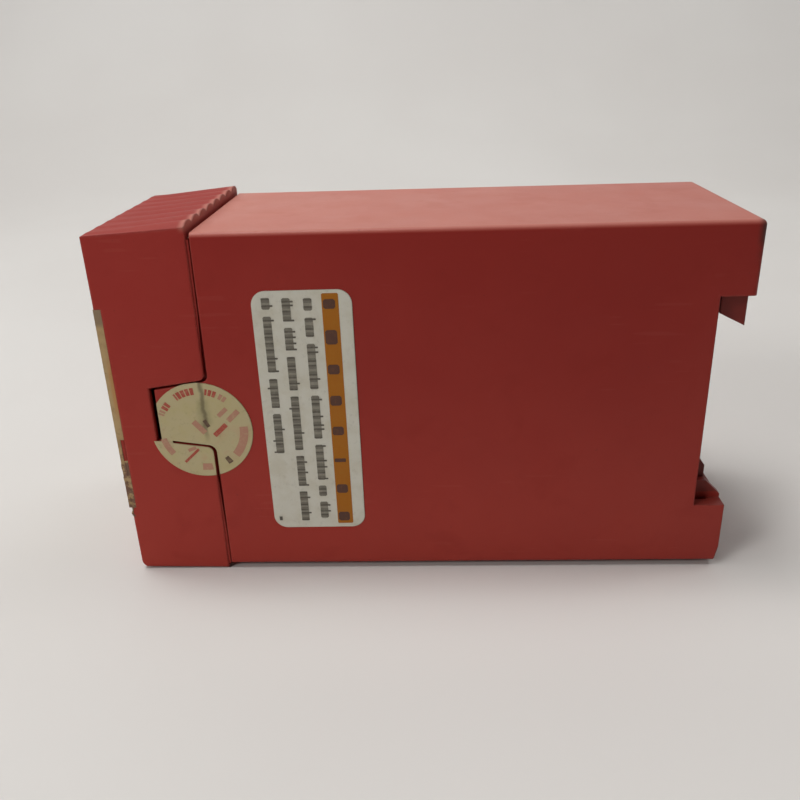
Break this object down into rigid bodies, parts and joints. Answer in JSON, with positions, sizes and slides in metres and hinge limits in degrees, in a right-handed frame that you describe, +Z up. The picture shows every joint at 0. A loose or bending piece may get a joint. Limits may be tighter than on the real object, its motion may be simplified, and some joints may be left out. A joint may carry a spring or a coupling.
{
  "type": "safety relay",
  "caption": "Red moulded safety relay for a 35 mm rail: rear housing, ridged front cap with snap tongues, screw terminals, round seal, side label and a sprung rail latch.",
  "frame": {"origin": "bottom centre of the whole relay box, on the surface it stands on", "axes": "+X from the front plate to the rail side, +Y away from the labelled side, +Z up as mounted"},
  "size_m": [0.125, 0.0451, 0.0751],
  "materials": {
    "housing_red": "moulded, fine texture, slightly faded",
    "cap_red": "moulded, ridged grip ends",
    "latch_red": "moulded, slightly darker",
    "spring_steel": "drawn wire",
    "plate_tan": "yellowed with age, chipped edge",
    "label_white": "printed label with an orange band, no lettering",
    "seal_cream": "round paper seal, slit, no lettering",
    "board_green": "solder mask",
    "header_black": "moulded",
    "terminal_grey": "moulded",
    "cage_nickel": "nickel plated",
    "screw_steel": "zinc plated",
    "led_tinted": "tinted lens",
    "light_pipe": "clear moulded rod",
    "relay_body": "sealed relay cover",
    "core_iron": "varnished laminations",
    "coil_tape": "winding under tape",
    "can_blue": "shrunk sleeve",
    "black_epoxy": "moulded epoxy",
    "varistor_blue": "dipped coating",
    "fuse_glass": "glass tube with metal caps",
    "clip_brass": "tinned",
    "bead_tan": "lacquered"
  },
  "bodies": {
    "housing": {"rear_housing": "housing_red", "front_cap": "cap_red", "front_plate": "plate_tan", "latch_springs": "spring_steel", "side_label": "label_white", "seal_on_cap": "seal_cream", "seal_on_housing": "seal_cream", "main_circuit_board": "board_green", "relay_circuit_board": "board_green", "terminal_circuit_board": "board_green", "main_board_header": "header_black", "relay_board_header": "header_black", "terminal_block_upper": "terminal_grey", "terminal_block_lower": "terminal_grey", "terminal_cages_upper": "cage_nickel", "terminal_cages_lower": "cage_nickel", "terminal_screws_upper": "screw_steel", "terminal_screws_lower": "screw_steel", "status_leds": "led_tinted", "light_pipes": "light_pipe", "guided_relay_1": "relay_body", "guided_relay_2": "relay_body", "auxiliary_relay": "relay_body", "transformer_core": "core_iron", "transformer_coil": "coil_tape", "smoothing_capacitor": "can_blue", "timing_capacitors": "can_blue", "bridge_rectifier": "black_epoxy", "varistor": "varistor_blue", "fuse": "fuse_glass", "fuse_clips": "clip_brass", "voltage_regulator": "black_epoxy", "logic_chips": "black_epoxy", "optocouplers": "black_epoxy", "resistors": "bead_tan", "diodes": "black_epoxy"},
    "rail_latch": {"rail_latch": "latch_red"}
  },
  "joints": [
    {"name": "rail_latch_slide", "type": "slide", "parent": "housing", "child": "rail_latch", "axis": [0, 0, -1], "range_m": [0, 0.004], "stiffness_N_per_m": 300, "springref_m": -0.003, "deforming": ["latch_springs"]}
  ]
}
